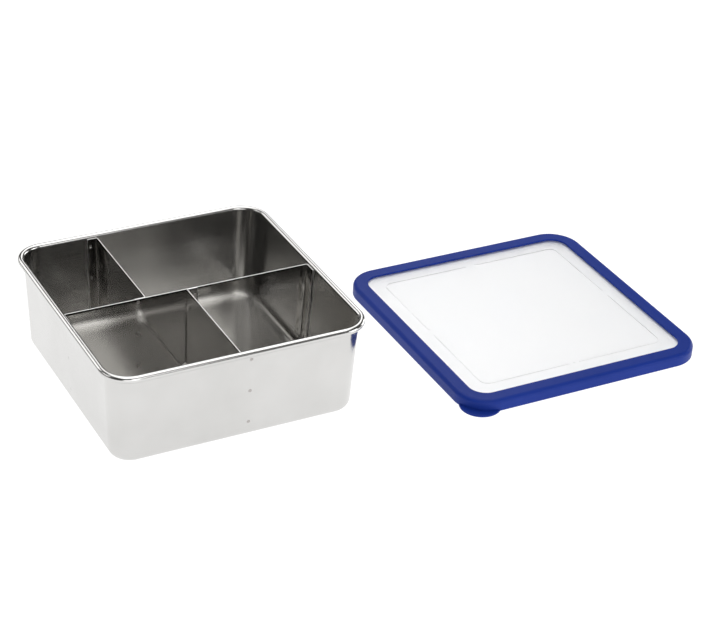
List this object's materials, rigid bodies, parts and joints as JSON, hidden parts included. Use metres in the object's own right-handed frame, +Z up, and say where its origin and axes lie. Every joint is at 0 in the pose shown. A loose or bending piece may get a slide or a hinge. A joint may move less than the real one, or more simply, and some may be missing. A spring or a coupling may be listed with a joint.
{
  "type": "divided food container",
  "caption": "Square stainless container with welded dividers making four compartments, and a press-on lid with a soft blue frame and translucent panel lying beside it.",
  "frame": {"origin": "centre of the tub's base, on the surface that the tub and the lid stand on", "axes": "+Z up, +X across the tub towards the lid that lies beside it, +Y to the rear"},
  "size_m": [0.4933, 0.2502, 0.079],
  "materials": {
    "tub_steel": "drawn stainless sheet, fine horizontal brushing outside, satin inside, bright rolled rim",
    "divider_steel": "satin stainless sheet with bright sheared edges",
    "weld_steel": "dished spot-weld marks",
    "frame_plastic": "soft satin blue moulded plastic",
    "panel_plastic": "milky translucent moulded plastic"
  },
  "bodies": {
    "tub": {"tub": "tub_steel", "main_divider": "divider_steel", "rear_divider": "divider_steel", "front_divider": "divider_steel", "left_wall_welds": "weld_steel", "right_wall_welds": "weld_steel", "rear_wall_welds": "weld_steel", "front_wall_welds": "weld_steel", "rear_joint_welds": "weld_steel", "front_joint_welds": "weld_steel"},
    "lid": {"lid_frame": "frame_plastic", "lid_panel": "panel_plastic"}
  },
  "joints": [
    {"name": "lid_lift", "type": "slide", "parent": "tub", "child": "lid", "axis": [0, 0, 1], "range_m": [0, 0.11]}
  ]
}
